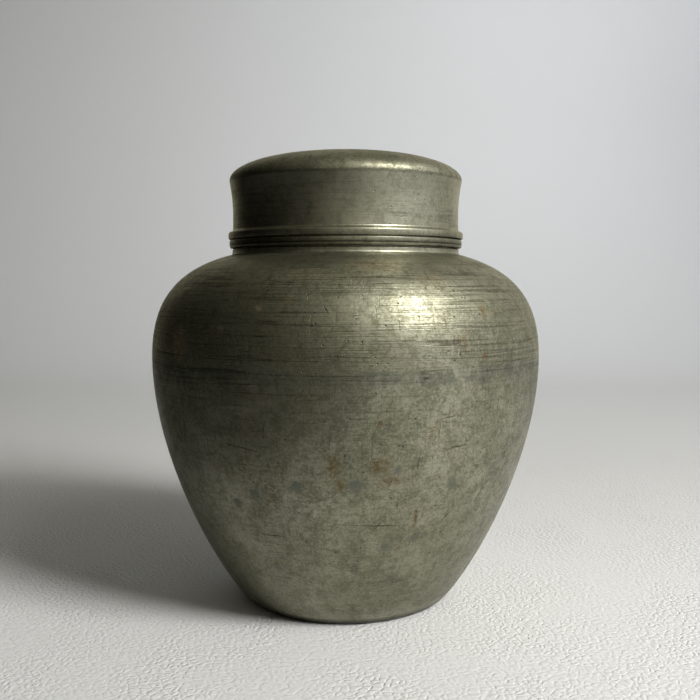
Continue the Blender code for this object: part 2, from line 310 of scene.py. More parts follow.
def turning_tree():
    """Spins the outline's points round Z, then cuts tool marks and leaves the metal a little uneven."""
    tree = bpy.data.node_groups.new("Turned Metal", "GeometryNodeTree")
    face = tree.interface

    face.new_socket(name="Geometry", in_out="OUTPUT", socket_type="NodeSocketGeometry")
    for name, kind, default in (
        ("Outline", "Geometry", None),
        ("Segments", "Int", 192),
        ("Closed Rows", "Int", 1),
        ("Mark Depth", "Float", 0.00002),
        ("Mark Spacing", "Float", MARK_SPACING),
        ("Unevenness", "Float", 0.0001),
        ("Middle", "Float", 0.0),
        ("Seed", "Float", 0.0),
        ("Finish", "Material", None),
    ):
        socket = face.new_socket(name=name, in_out="INPUT", socket_type=f"NodeSocket{kind}")
        if default is not None:
            socket.default_value = default

    t = Tree(tree)
    node = t.node
    given = node("NodeGroupInput").outputs
    outline = given["Outline"]
    count = node("GeometryNodeAttributeDomainSize", {"Geometry": outline}, component="MESH").outputs["Point Count"]
    rows = t.math("ADD", count, given["Closed Rows"])
    columns = t.math("ADD", given["Segments"], 1)
    grid = node("GeometryNodeMeshGrid", {"Vertices X": columns, "Vertices Y": rows}).outputs["Mesh"]
    index = node("GeometryNodeInputIndex").outputs[0]
    row = t.math("MODULO", t.math("MODULO", index, rows), count)
    column = t.math("FLOOR", t.math("DIVIDE", t.math("ADD", index, 0.5), rows))
    turn = t.math("MULTIPLY", t.math("DIVIDE", column, given["Segments"]), 2 * math.pi)

    def from_outline(value, kind="FLOAT"):
        taken = node("GeometryNodeSampleIndex", {"Geometry": outline, "Index": row}, data_type=kind)
        tree.links.new(value, taken.inputs["Value"])
        return taken.outputs[0]

    def attribute(name):
        return node("GeometryNodeInputNamedAttribute", {"Name": name}, data_type="FLOAT").outputs["Attribute"]

    position = node("GeometryNodeInputPosition").outputs[0]
    spun = node(
        "ShaderNodeVectorRotate",
        {"Vector": from_outline(position, "FLOAT_VECTOR"), "Angle": turn},
        rotation_type="Z_AXIS",
    ).outputs[0]
    shape = node("GeometryNodeSetPosition", {"Geometry": grid, "Position": spun}).outputs[0]
    for name in ("along", *LOOKS):
        inputs = {"Geometry": shape, "Name": name, "Value": from_outline(attribute(name))}
        shape = node("GeometryNodeStoreNamedAttribute", inputs, data_type="FLOAT", domain="POINT").outputs[0]
    shape = node("GeometryNodeMergeByDistance", {"Geometry": shape, "Distance": WELDED}).outputs[0]

    ring = t.math("ADD", t.math("DIVIDE", attribute("along"), given["Mark Spacing"]), given["Seed"])
    rings = node("ShaderNodeTexNoise", {"W": ring, "Scale": 1.0, "Detail": 1.5}, noise_dimensions="1D").outputs[0]
    cut = t.product(rings, attribute("mark"), given["Mark Depth"])
    swell = node(
        "ShaderNodeTexNoise",
        {"Vector": position, "W": given["Seed"], "Scale": 26.0, "Detail": 1.0},
        noise_dimensions="4D",
    ).outputs[0]
    strayed = t.math("MULTIPLY", swell, given["Unevenness"])
    normal = node("GeometryNodeInputNormal").outputs[0]
    # Pieces with the same middle and seed move together, so no gap opens where they meet
    middle = t.combined(Z=given["Middle"])
    outward = t.vector("NORMALIZE", t.vector("SUBTRACT", position, middle))
    together = t.math("GREATER_THAN", given["Middle"], 0.0)
    shared = t.scaled(outward, t.math("MULTIPLY", strayed, together))
    own = t.math("ADD", cut, t.math("MULTIPLY", strayed, t.math("SUBTRACT", 1.0, together)))
    eaten = t.vector("ADD", shared, t.scaled(normal, own))
    offset = t.scaled(eaten, -1.0)
    shape = node("GeometryNodeSetPosition", {"Geometry": shape, "Offset": offset}).outputs[0]
    shape = node("GeometryNodeRealizeInstances", {"Geometry": shape}).outputs[0]
    shape = node("GeometryNodeSetMaterial", {"Geometry": shape, "Material": given["Finish"]}).outputs[0]
    node("NodeGroupOutput", {"Geometry": shape})
    return tree


def outline_mesh(name, line):
    """The outline's points and sides, with what each point says and how far along the line it is."""
    mesh = bpy.data.meshes.new(f"{name}_outline")
    corners = [(radius, 0.0, height) for radius, height, *_ in line]
    mesh.from_pydata(corners, [(i, i + 1) for i in range(len(line) - 1)], [])
    lengths = itertools.accumulate((math.dist(a[:2], b[:2]) for a, b in zip(line, line[1:])), initial=0.0)
    columns = {"along": list(lengths)}
    for i, key in enumerate(LOOKS, 2):
        columns[key] = [point[i] for point in line]
    for key, values in columns.items():
        mesh.attributes.new(key, "FLOAT", "POINT").data.foreach_set("value", values)
    return mesh


def spun(name, outline, settings):
    """The outline spun into a mesh by the lathe's tree, at those settings."""
    blank = bpy.data.objects.new(f"{name}_blank", outline)
    bpy.context.scene.collection.objects.link(blank)
    lathe = blank.modifiers.new("Turning", "NODES")
    lathe.node_group = bpy.data.node_groups.get("Turned Metal") or turning_tree()
    for socket in lathe.node_group.interface.items_tree:
        if socket.in_out == "INPUT" and socket.name in settings:
            lathe[socket.identifier] = settings[socket.name]
    shape = bpy.data.meshes.new_from_object(blank.evaluated_get(bpy.context.evaluated_depsgraph_get()))
    shape.name = name
    blank.modifiers.remove(lathe)
    bpy.data.objects.remove(blank)
    bpy.data.meshes.remove(outline)
    return shape


def face_outwards(shape):
    """Turns the faces outwards, and fails if the shape isn't closed."""
    mesh = bmesh.new()
    mesh.from_mesh(shape)
    bmesh.ops.recalc_face_normals(mesh, faces=mesh.faces)
    if mesh.calc_volume(signed=True) < 0:
        bmesh.ops.reverse_faces(mesh, faces=mesh.faces)
    if any(not edge.is_manifold for edge in mesh.edges):
        raise RuntimeError(f"{shape.name} isn't closed")
    mesh.to_mesh(shape)
    mesh.free()


def turned(name, line, body, slot, metal, replaced=None, seed=0.0, middle=0.0, **changed):
    """Makes one turned piece from its outline and rides it on its body; its slot is not used.

    The middle is the height that unevenness pulls towards, or 0 to pull straight into the surface.
    Other settings of the lathe that differ from the rest of the caddy come by keyword.
    """
    sizes = bpy.context.scene.caddy_sizes
    on_axis = line[0][0] < WELDED / 10 and line[-1][0] < WELDED / 10
    turning = sum(a[0] * b[1] - b[0] * a[1] for a, b in zip(line, line[1:] + line[:1]))
    if turning < 0:  # so that every piece's faces look outwards before the metal is cut back
        line = line[::-1]
    settings = {
        "Segments": sizes.segments,
        "Closed Rows": 0 if on_axis else 1,
        "Mark Depth": changed.get("depth", sizes.mark_depth),
        "Mark Spacing": changed.get("spacing", MARK_SPACING),
        "Unevenness": changed.get("unevenness", sizes.unevenness),
        "Seed": seed,
        "Middle": middle,
        "Finish": metal,
    }
    shape = spun(name, outline_mesh(name, line), settings)
    face_outwards(shape)
    shape.shade_smooth()
    shape.set_sharp_from_angle(angle=SHARP_ANGLE)
    piece = bpy.data.objects.new(name, shape)
    bpy.context.scene.collection.objects.link(piece)
    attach(piece, body)
    if replaced:
        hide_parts(replaced)
    return piece


# Outlines of the pieces


def body_outer(sizes):
    """The belly and heel from the girth down, without the ring that it stands on."""
    girth = at(sizes.girth_radius, sizes.girth_height)
    heel = at(sizes.heel_radius, sizes.heel_height)
    foot = at(sizes.foot_radius, 0)
    slope = at(math.cos(sizes.heel_slope), math.sin(sizes.heel_slope))
    height = girth.y - heel.y
    belly = bezier(girth, girth - at(0, sizes.belly_pull * height), heel + sizes.taper_pull * height * slope, heel, 250)
    corner = heel - slope * (heel.y / slope.y)
    return belly, bend(heel, corner, foot, 14, 0.6)


def lower_body_line(sizes):
    belly, heel = body_outer(sizes)
    wall = sizes.wall
    outer = belly + heel[1:]
    inner = inset(outer[::6] + [outer[-1]], -wall)
    inner[0] = at(sizes.girth_radius - wall, sizes.girth_height)
    inner[-1] = at(sizes.foot_radius, wall)
    edge = sizes.foot_radius - sizes.foot_width
    lip = bend(at(edge + 0.0004, 0), at(edge, 0), at(edge, 0.0004)) + bend(
        at(edge, wall - 0.0004), at(edge, wall), at(edge + 0.0004, wall)
    )
    return joined(
        stretch(belly, 0.75),
        stretch(heel[:5], 0.35, 0.2),
        # Painted shade: the heel darkens more and more towards the floor, for the contact shadow and the shadowed floor
        # that its underside mirrors.
        stretch(heel[5:7], 0.35, 0.0, 0.4),
        stretch(heel[7:], 0.2, 0.0, 0.85),
        stretch(lip, 0.2, 0, 0.5),
        stretch(inner[::-1], 0.5),
    )


def shoulder(sizes):
    """The outside of the upper half, from the lip's fillet down to the seam."""
    girth = at(sizes.girth_radius, sizes.girth_height + SEAM_GAP)
    top = at(sizes.lip_radius + sizes.lip_fillet, sizes.shoulder_height)
    low = girth + at(0, sizes.shoulder_pull_low * (top.y - girth.y))
    run = sizes.shoulder_pull_high * (girth.x - top.x)
    high = top + run * at(1, -math.tan(sizes.shoulder_slope))
    return bezier(top, high, low, girth, 230)


def upper_body_line(sizes):
    bore = NECK_HIGH[0] + 0.0003
    lip_top = UPPER_HIGH[2]
    outside = shoulder(sizes)
    top = outside[0]
    fillet = bend(at(sizes.lip_radius, top.y + sizes.lip_fillet), at(sizes.lip_radius, top.y), top, 8)
    crown = bend(at(bore, lip_top - 0.0002), at(bore, lip_top), at(bore + 0.0002, lip_top), 3) + bend(
        at(sizes.lip_radius - 0.0004, lip_top), at(sizes.lip_radius, lip_top), at(sizes.lip_radius, lip_top - 0.0004), 5
    )
    low = outside[-1]
    lap_bore = sizes.lap_radius - LAP_WALL
    lap = [
        at(sizes.lap_radius, low.y),
        at(sizes.lap_radius, UPPER_LOW[2] + 0.0002),
        at(sizes.lap_radius - 0.0002, UPPER_LOW[2]),
        at(lap_bore, UPPER_LOW[2]),
        at(lap_bore, low.y + 0.0025),
    ]
    wall = inset(outside[::6], -sizes.wall)
    inside = [point for point in wall if point.y > low.y + 0.0028 and point.x > bore + 0.0003]
    lip_base = inside[0].y + (inside[0].x - bore) * math.tan(sizes.shoulder_slope)
    return joined(
        stretch(crown, 0.2, 0.5, 0.2),
        # Painted highlight: the fillet at the lip's foot is made bright like the band of light it catches.
        stretch(fillet, 0.2, 1.0),
        stretch(outside, 1.0),
        stretch(lap, 0.1),
        stretch(inside[::-1], 0.5),
        stretch([at(bore, lip_base)], 0.2, 0, 0.5),
    )


def base_plate_line():
    """A disc with a lathe's centre mark and turned rings underneath."""
    low, high, radius = BASE_LOW[2], BASE_HIGH[2], BASE_HIGH[0]
    under = [at(0, low + 0.0004), at(0.0004, low + 0.0003), at(0.0009, low)]
    steps = 110
    under += [at(0.0012 + (radius - 0.0014) * i / steps, low) for i in range(steps + 1)]
    over = [at(radius - 0.0002 - (radius - 0.0012) * i / 60, high) for i in range(61)]
    return joined(
        stretch(under, 0.8),
        stretch([at(radius, low + 0.0002), at(radius, high - 0.0002)], 0.1, 0, 0.5),
        stretch(over, 0.8),
        stretch([at(0, high)], 0.3),
    )


def neck_line():
    radius, low, high = NECK_HIGH[0], NECK_LOW[2], NECK_HIGH[2]
    bore = radius - 0.0012
    outside = [at(radius, low + 0.0003 + (high - low - 0.0008) * i / 60) for i in range(61)]
    inside = [at(bore, high - 0.0005 - (high - low - 0.0008) * i / 30) for i in range(31)]
    crown = bend(at(radius, high - 0.0005), at(radius, high), at(radius - 0.0006, high), 5) + bend(
        at(bore + 0.0006, high), at(bore, high), at(bore, high - 0.0005), 5
    )
    foot = [at(bore + 0.0002, low), at(radius - 0.0002, low)]
    return joined(stretch(outside, 0.6), stretch(crown, 0.1, 0.8), stretch(inside, 0.5), stretch(foot, 0.1))


def collar_line():
    """The ring that the lid rests on: an upright face, a cut groove and a bead that turns in underneath."""
    bore, radius, low, high = NECK_HIGH[0] + 0.00005, COLLAR_HIGH[0], COLLAR_LOW[2] - 0.0001, COLLAR_HIGH[2]
    groove = low + 0.00095
    face = bend(at(radius - 0.00025, high), at(radius, high), at(radius, high - 0.0002), 4)
    cut = [
        at(radius, groove + 0.0001),
        at(radius - 0.00022, groove + 0.00003),
        at(radius - 0.00022, groove - 0.00005),
        at(radius - 0.00006, groove - 0.00014),
    ]
    bead = bend(at(radius - 0.00004, groove - 0.00024), at(radius - 0.00002, low), at(radius - 0.0007, low), 10, 0.72)
    return joined(
        stretch([at(bore, low), at(bore, high)], 0, 0, 0.6),
        stretch(face, 0.2, 0.5),
        stretch(cut, 0, 0, 0.7),
        stretch(bead, 0.2, 0.1, 0.2),
        stretch([at(NECK_HIGH[0] + 0.0008, low)], 0, 0, 1.0),
    )


def lid_radius(sizes, height):
    """The outside of the lid's wall, which flares both ways from its waist."""
    if height > sizes.waist_height:
        part = (height - sizes.waist_height) / (WALL_HIGH[2] - sizes.waist_height)
        return sizes.waist_radius + (WALL_HIGH[0] - sizes.waist_radius) * part**2
    part = (sizes.waist_height - height) / (sizes.waist_height - WALL_LOW[2])
    return sizes.waist_radius + 0.00025 * part**2


def lid_wall_line(sizes):
    low, high = WALL_LOW[2], WALL_HIGH[2] + 0.00008
    steps = 120
    heights = [low + (high - 0.0001 - low) * i / steps for i in range(steps + 1)]
    outer = [at(lid_radius(sizes, height), height) for height in heights]
    inner = [at(point.x - sizes.lid_sheet, point.y) for point in outer[::4]]
    inner[0] = inner[0] + at(0.0002, 0)
    brim = [at(outer[-1].x, high), at(inner[-1].x, high)]
    return joined(
        stretch(outer[:-3], 0.7),
        stretch(outer[-3:], 0.3, 0, 0.3),
        stretch(brim, 0.2, 0, 0.3),
        stretch(inner[::-1], 0.4, 0, 0.1),
    )


def lid_rim_line(sizes):
    """The band round the lid's edge, run up to the wall in a hollow of solder."""
    radius, low = RIM_HIGH[0], RIM_LOW[2]
    bore = lid_radius(sizes, low) + 0.00003
    high = RIM_HIGH[2] + 0.0003
    wall = lid_radius(sizes, high)
    foot = bend(at(radius - 0.0003, low), at(radius, low), at(radius, low + 0.0003), 4)
    brow = bend(at(radius, low + 0.00135), at(radius, low + 0.0020), at(radius - 0.0005, low + 0.0021), 6)
    hollow = bend(at(radius - 0.0006, low + 0.00212), at(wall + 0.0001, low + 0.0022), at(wall + 0.00003, high), 6)
    return joined(
        stretch([at(bore, low)], 0, 0, 0.8),
        stretch(foot, 0.1, 0.3, 0.2),
        stretch(brow, 0.1, 0.8),
        # Painted highlight: the hollow up to the wall is made bright like the line of light it catches.
        stretch(hollow, 0.1, 1.0),
    )


def lid_top_line(sizes):
    """The dome, its rounded brow and the lap inside the wall."""
    base = WALL_HIGH[2] + 0.0001
    radius, rise = WALL_HIGH[0], DOME_HIGH[2] - WALL_HIGH[2] - 0.0003
    steps = 150
    dome = []
    for i in range(steps + 1):
        turn = math.pi / 2 * i / steps
        reach = radius * math.cos(turn) ** (2 / sizes.dome_flatness) if i < steps else 0
        dome.append(at(reach, base + 0.0002 + rise * math.sin(turn)))
    inside = inset(dome[::5], sizes.dome_sheet)
    lap_radius = lid_radius(sizes, DOME_LOW[2]) - sizes.lid_sheet - 0.0001
    lap_bore = lap_radius - LAP_WALL
    ceiling = [point for point in inside if point.x < lap_bore - 0.0006 and point.y > base + 0.002]
    lap = [
        at(lap_bore, ceiling[0].y - 0.0012),
        at(lap_bore, DOME_LOW[2] + 0.0001),
        at(lap_bore + 0.0002, DOME_LOW[2]),
        at(lap_radius, DOME_LOW[2] + 0.0001),
        at(lap_radius, base),
    ]
    return joined(
        stretch([at(0, dome[-1].y - sizes.dome_sheet)], 0.3),
        stretch(ceiling[::-1][1:], 0.5),
        stretch(lap, 0.2),
        stretch([at(radius - 0.00002, base)], 0.2, 0, 0.3),
        stretch(dome[1:-1], 0.35),
        stretch([dome[-1]], 0.35),
    )


def plate_line():
    """The inner lid: a flat band round an embossed middle."""
    radius, low, high = PLATE_HIGH[0], PLATE_LOW[2], PLATE_HIGH[2]
    raise_by = 0.0006
    thick = high - low - raise_by
    band, middle = radius - 0.0046, radius - 0.0056
    top = bend(at(radius, low + thick * 0.6), at(radius, low + thick), at(radius - 0.0005, low + thick), 5)
    top += [at(band + 0.0003 + (radius - 0.0008 - band) * (1 - i / 12), low + thick) for i in range(13)]
    step = bezier(at(band, low + thick), at(band - 0.0005, low + thick), at(middle + 0.0005, high), at(middle, high), 8)
    flat = [at(middle * (1 - i / 90), high) for i in range(1, 91)]
    under = [at(0, low + raise_by)] + [at(middle * i / 50, low + raise_by) for i in range(1, 51)]
    under += [at(band, low), at(radius - 0.0005, low)] + bend(
        at(radius - 0.0004, low), at(radius, low), at(radius, low + thick * 0.4), 4
    )
    return joined(stretch(under, 0.6), stretch(top, 0.6, 0.3), stretch(step, 0.2), stretch(flat, 0.8))


def plug_line():
    radius, low, high = PLUG_HIGH[0], PLUG_LOW[2], PLUG_HIGH[2] + 0.00028
    bore = radius - 0.0011
    outside = [at(radius, low + 0.0004 + (high - low - 0.0006) * i / 30) for i in range(31)]
    inside = [at(bore, high - (high - low - 0.0004) * i / 16) for i in range(17)]
    edge = bend(at(bore, low + 0.0003), at(bore, low), at(bore + 0.0004, low), 4) + bend(
        at(radius - 0.0004, low), at(radius, low), at(radius, low + 0.0004), 4
    )
    return joined(
        stretch(edge, 0.1, 0.6),
        stretch(outside, 0.5, 0.2),
        stretch([at(radius, high)], 0.1),
        stretch(inside, 0.4),
    )


def knob_line():
    """A turned button on a waisted stem, with a bead at its foot."""
    low, high, radius = KNOB_LOW[2] - 0.00028, KNOB_HIGH[2], KNOB_HIGH[0]
    rise = high - low
    stem, widest = low + rise * 0.34, low + rise * 0.64
    bead = bend(at(0.0038, low + 0.0001), at(0.0041, low + 0.0009), at(0.0034, low + 0.0010), 6, 0.7)
    waist = bend(at(0.0033, low + 0.0011), at(0.0022, low + 0.0013), at(0.0022, stem), 8)
    under = bend(at(0.0022, stem), at(0.0022, widest - 0.0003), at(radius - 0.0003, widest - 0.0002), 10)
    brow = bend(at(radius - 0.0003, widest - 0.0002), at(radius, widest - 0.00015), at(radius, widest + 0.0003), 4)
    crown = bend(at(radius, widest + 0.0003), at(radius, high), at(0, high), 22)
    return joined(
        stretch([at(0, low)], 0),
        stretch(bead, 0.1, 0.2, 0.2),
        stretch(waist, 0.1, 0, 0.4),
        stretch(under, 0.1, 0, 0.2),
        stretch(brow, 0.2, 0.8),
        stretch(crown, 0.4, 0.5),
    )


def bead_line(corner, width, height):
    """A hollow fillet of solder in a corner: out along the radius by its width, and up or down by its height."""
    along = corner + at(width, 0)
    up = corner + at(0, height)
    return joined(stretch([corner], 0), stretch(bend(along, corner, up, 6, 0.45), 0, 0.2))


# Finishes


def line_mask(tree, place, start, end, width):
    """1 on a straight scratch between two places in millimetres, fading to 0 at its width and its ends."""
    run = Vector(end) - Vector(start)
    offset = tree.vector("SUBTRACT", place, (*start, 0))
    part = tree.math("DIVIDE", tree.vector("DOT_PRODUCT", offset, (*run, 0)), run.length_squared, clamp=True)
    nearest = tree.scaled((*run, 0), part)
    away = tree.vector("DISTANCE", offset, nearest)
    taper = tree.math("SUBTRACT", 1.0, tree.math("ABSOLUTE", tree.math("MULTIPLY_ADD", part, 1.6, -0.8)))
    return tree.product(tree.ramp(tree.math("DIVIDE", away, width), 1.0, 0.3, 0.0, 1.0), taper)


def spot_mask(tree, place, centre, radii):
    """1 in the middle of an oval stain at a place in millimetres, falling to 0 at its edge."""
    offset = tree.vector("SUBTRACT", place, (*centre, 0))
    scaled = tree.vector("DIVIDE", offset, (*radii, 1))
    return tree.ramp(tree.vector("LENGTH", scaled), 1.0, 0.1)


BODY_TURN = 58.0  # millimetres of the girth for each radian, for places written as an angle and a height

# Places on the body, seen from the front: degrees to the right, millimetres up
SCORES = (82.2, 79.6, 76.3, 87.0, 92.5)
SCRATCHES = (
    ((-33, 54.4), (-22, 53.0), 0.22),
    ((27, 53.2), (34, 54.2), 0.24),
    ((24, 61.5), (30, 62.0), 0.16),
    ((5, 33.6), (17, 33.2), 0.20),
    ((8, 31.8), (12, 36.0), 0.16),
    ((42.5, 37.0), (46, 42.5), 0.22),
    ((31, 33.4), (33, 35.2), 0.34),
    ((-30, 61.5), (-20, 61.0), 0.14),
    ((-21, 56.5), (-20.5, 61.5), 0.14),
    ((24.5, 53.5), (24.7, 63.5), 0.12),
    ((19, 46.0), (20, 54.0), 0.12),
    ((-27, 29.5), (-18, 29.8), 0.18),
    ((-5.4, 89.6), (-4.2, 87.8), 0.20),
    ((16, 15.0), (22, 15.6), 0.14),
    ((-25, 82.1), (-19, 82.1), 0.22),
    ((19, 71.9), (21.5, 71.9), 0.40),
)
STAINS = (
    ((-3, 50), (2.6, 5.5), 1.0),
    ((-1, 45), (2.4, 3.0), 0.8),
    ((9, 50), (5.0, 3.4), 0.8),
    ((12, 46), (6.0, 3.0), 0.6),
    ((8.5, 61), (1.3, 1.2), 0.9),
    ((21, 35), (1.2, 4.4), 1.5),
    ((-3, 26), (2.8, 1.2), 1.2),
    ((-1, 15), (5.0, 3.0), 0.5),
    ((-15, 91), (1.8, 1.5), 0.9),
    ((-23, 89), (1.6, 1.2), 0.9),
    ((31, 81), (2.2, 3.2), 0.9),
    ((38, 77), (1.7, 2.0), 1.0),
    ((40, 88), (2.2, 2.8), 0.9),
    ((10, 99.5), (16.0, 2.4), 0.6),
    ((-12, 97), (12.0, 3.2), 0.6),
    ((26, 96), (8.0, 2.6), 0.5),
    ((-49, 79), (6.0, 7.0), 1.0),
)
SPOTS = (
    ((-24, 19.3), 1.6),
    ((-10, 12.6), 1.6),
    ((-12, 17.0), 1.0),
    ((18, 16.9), 1.3),
    ((16.5, 20.5), 1.2),
    ((3, 20.5), 1.5),
    ((-26, 41), 2.0),
    ((-33, 38), 1.6),
    ((31, 44), 1.6),
    ((14, 48.5), 1.3),
    ((3, 45), 1.8),
    ((-13, 44), 2.0),
    ((22, 29), 1.6),
    ((13, 27), 1.4),
)
PIT_PATCHES = (((-13, 31), (8.0, 5.0)), ((9, 28), (5.0, 3.5)), ((-2, 24), (6.0, 3.0)), ((24, 90.5), (4.0, 1.5)))


def millimetres(place):
    """An angle in degrees and a height as a place on the unrolled body."""
    return (math.radians(place[0]) * BODY_TURN, place[1])


class Pewter(Tree):
    """Aged pewter, to which each step below adds its colour, its height and its darkening over what the last one left;
    the darkening is soiling, and at the heel painted shade.
    """

    def __init__(self, tree, seed):
        super().__init__(tree)
        self.colours = bpy.context.scene.caddy_colours
        self.true = self.place()
        self.x, self.y, self.z = self.split(self.true)
        self.spot = self.moved(self.true, seed * 31.0, seed * 17.0, 0.0)  # so that no two finishes are alike
        self.seed = seed

    def paint(self, colour, *factors):
        """Lays one of the caddy's colours over what is there, as strongly as its factors multiply to."""
        self.colour = self.blend(self.product(*factors), self.colour, getattr(self.colours, colour))


def turn(t, marks, body):
    """Turning lines: noise drawn out round the piece, as soft streaks and as thin cuts."""
    along = t.math("MULTIPLY", t.attribute("along"), MILLIMETRES)
    drawn = t.combined(X=t.math("MULTIPLY", t.x, 0.02), Y=t.math("MULTIPLY", t.y, 0.02), Z=along)
    rings = t.moved(drawn, t.seed, 0.0, t.seed * 7.0)
    t.streaks = t.noise(rings, 0.55, 3.0, 0.75)
    ridges = t.noise(t.moved(rings, 3.0, 3.0, 3.0), 2.6, 2.0, 0.6)
    thin = t.ramp(t.distance_from(ridges, 0.5), 0.030, 0.008)
    patchy = t.ramp(t.noise(t.spot, 14.0, 4.0, 0.65), 0.36, 0.58, 0.15, 1.0)
    t.cut = t.product(t.attribute("mark"), patchy, marks)
    if body:
        low, high = t.ramp(t.z, 58.0, 74.0, 0.30, 1.0), t.ramp(t.z, 103.0, 97.0, 0.35, 1.0)
        t.cut = t.product(t.cut, low, high)
    t.height = t.total(t.product(t.streaks, t.cut, 0.10), t.product(thin, t.cut, -0.02))
    # Soiling in the thin cuts, plus the outline's darkening, which at the heel is painted shade.
    t.dirt = t.total(t.product(thin, t.cut, 0.5), t.attribute("grime_and_shade"))


def cloud(t, base, patina):
    """Patina: clouds, crisper mottling, blotches, freckles and a salt-and-pepper grain."""
    t.clouds = t.noise(t.spot, 17.0, 6.0, 0.65, 0.5)
    t.mottle = t.noise(t.moved(t.spot, 40.0, 0.0, 0.0), 3.4, 6.0, 0.72)
    t.grain = t.noise(t.spot, 0.7, 3.0, 0.85)
    blotches = t.noise(t.moved(t.spot, 0.0, 70.0, 0.0), 5.0, 5.0, 0.7, 1.2)
    freckles = t.noise(t.moved(t.spot, 90.0, 0.0, 0.0), 1.5, 3.0, 0.7)
    cloudy = t.ramp(t.clouds, 0.42, 0.62, 0.0, 0.50)
    t.greyed = t.product(t.total(cloudy, t.ramp(t.mottle, 0.48, 0.60, 0.0, 0.50)), patina)
    t.colour = getattr(t.colours, base)
    t.paint("dark", t.greyed)
    t.paint("bright", t.ramp(t.clouds, 0.52, 0.34), t.ramp(t.mottle, 0.54, 0.40), 0.5)
    t.paint("bright", t.ramp(t.streaks, 0.52, 0.68), t.cut, 0.55)
    t.paint("dark", t.ramp(t.streaks, 0.48, 0.32), t.cut, 0.55)
    t.paint("dark", t.ramp(blotches, 0.55, 0.62), patina, 0.65)
    t.paint("bright", t.ramp(t.grain, 0.49, 0.34), patina, 0.50)
    t.paint("dark", t.ramp(t.grain, 0.51, 0.66), patina, 0.75)
    t.paint("dark", t.ramp(freckles, 0.54, 0.66), patina, 0.45)
    t.height = t.total(t.height, t.product(t.grain, 0.02), t.product(t.mottle, 0.03))


def stain(t, patina, stains, pits, body):
    """Round spots of bluish grey, brown stains, and pits that gather in patches."""
    colours = t.node("ShaderNodeTexNoise", {"Vector": t.spot, "Scale": 0.6, "Detail": 3.0}).outputs[1]
    t.shiver = t.vector("SUBTRACT", colours, (0.5, 0.5, 0.5))
    blobs = t.cells(t.vector("ADD", t.spot, t.scaled(t.shiver, 3.0)), 6.5)
    chance = t.node("ShaderNodeSeparateColor", {0: blobs.outputs["Color"]}).outputs[0]
    away = t.math("DIVIDE", blobs.outputs["Distance"], t.math("MULTIPLY_ADD", chance, 0.20, 0.04))
    spots = t.product(t.ramp(away, 1.0, 0.6), t.ramp(chance, 0.45, 0.60), 0.4)
    pores = t.cells(t.spot, 1.5)
    pore_chance = t.node("ShaderNodeSeparateColor", {0: pores.outputs["Color"]}).outputs[1]
    crowd = t.ramp(t.noise(t.spot, 11.0, 3.0, 0.6), 0.48, 0.68, 0.12, 0.95)
    crumbs = t.noise(t.spot, 1.1, 5.0, 0.75)
    t.drift = t.noise(t.moved(t.spot, 0.0, 55.0, 20.0), 9.0, 5.0, 0.7)
    t.rust = t.product(t.ramp(t.drift, 0.58, 0.74), t.ramp(crumbs, 0.40, 0.62), 0.6)
    if body:
        around = t.math("ARCTAN2", t.x, t.math("MULTIPLY", t.y, -1.0))
        t.flat = t.combined(X=t.math("MULTIPLY", around, BODY_TURN), Y=t.z)
        loose = t.vector("ADD", t.flat, t.scaled(t.shiver, 2.6))
        for centre, radius in SPOTS:
            spot = spot_mask(t, loose, millimetres(centre), (radius * 1.45,) * 2)
            spots = t.most(spots, t.product(t.ramp(spot, 0.05, 0.75), 0.72))
        spots = t.product(spots, t.ramp(t.z, 62.0, 50.0, 0.25, 1.0))
        for centre, radii in PIT_PATCHES:
            crowd = t.most(crowd, spot_mask(t, loose, millimetres(centre), radii))
        for centre, radii, amount in STAINS:
            patch = spot_mask(t, loose, millimetres(centre), radii)
            t.rust = t.most(t.rust, t.product(patch, t.ramp(crumbs, 0.30, 0.60), amount))
    t.rust = t.math("MINIMUM", t.product(t.rust, stains), 0.88)
    open_pore = t.math("GREATER_THAN", t.total(pore_chance, t.product(crowd, 0.75)), 1.02)
    pitted = t.product(t.ramp(pores.outputs["Distance"], 0.20, 0.09), open_pore, pits)
    t.dirt = t.total(t.dirt, t.product(pitted, 0.8))
    t.height = t.total(t.height, t.product(pitted, -0.08))
    t.paint("blue", t.math("MINIMUM", t.product(spots, patina), 0.88))
    t.paint("rust", t.rust)


def scratch(t):
    """On the body: known scratches, long scores, the short strokes of wiping, the girth's seam with its bluish band,
    and painted shade darkening the belly towards the bottom.
    """
    hairline = t.vector("ADD", t.flat, t.scaled(t.shiver, 0.7))
    wander = t.total(t.z, t.product(t.math("SUBTRACT", t.noise(t.spot, 20.0, 2.0), 0.5), 0.9))
    lines = [line_mask(t, hairline, millimetres(a), millimetres(b), width * 1.4) for a, b, width in SCRATCHES]
    for n, level in enumerate(SCORES):
        thin = t.ramp(t.distance_from(wander, level), 0.14, 0.03)
        broken = t.ramp(t.noise(t.moved(t.spot, n * 13.0, 0.0, 0.0), 15.0, 4.0, 0.6), 0.42, 0.56)
        lines.append(t.product(thin, broken, 0.5))
    for drawn_out, low, amount in (((0.16, 2.1, 1.0), 0.59, 0.50), ((1.7, 0.12, 1.0), 0.60, 0.45)):
        strokes = t.noise(t.vector("MULTIPLY", hairline, drawn_out), 1.0, 2.0, 0.6)
        lines.append(t.product(t.ramp(strokes, low, low + 0.08), t.ramp(t.drift, 0.42, 0.56), amount))
    scratched = t.most(*lines)
    near_seam = t.ramp(t.distance_from(wander, 72.7), 0.22, 0.05)
    seam = t.product(near_seam, t.ramp(t.clouds, 0.42, 0.58, 0.0, 0.28))
    t.dirt = t.total(t.dirt, seam, t.product(scratched, 0.8))
    t.height = t.total(t.height, t.product(scratched, -0.04))
    blued = t.ramp(t.mottle, 0.35, 0.60, 0.0, 0.55)
    t.paint("blue", t.ramp(t.z, 68.6, 71.6), t.ramp(t.z, 74.6, 72.8), blued)
    # Painted shade: the belly darker towards the bottom.
    t.paint("dark", t.ramp(t.z, 52.0, 10.0, 0.0, 0.45))


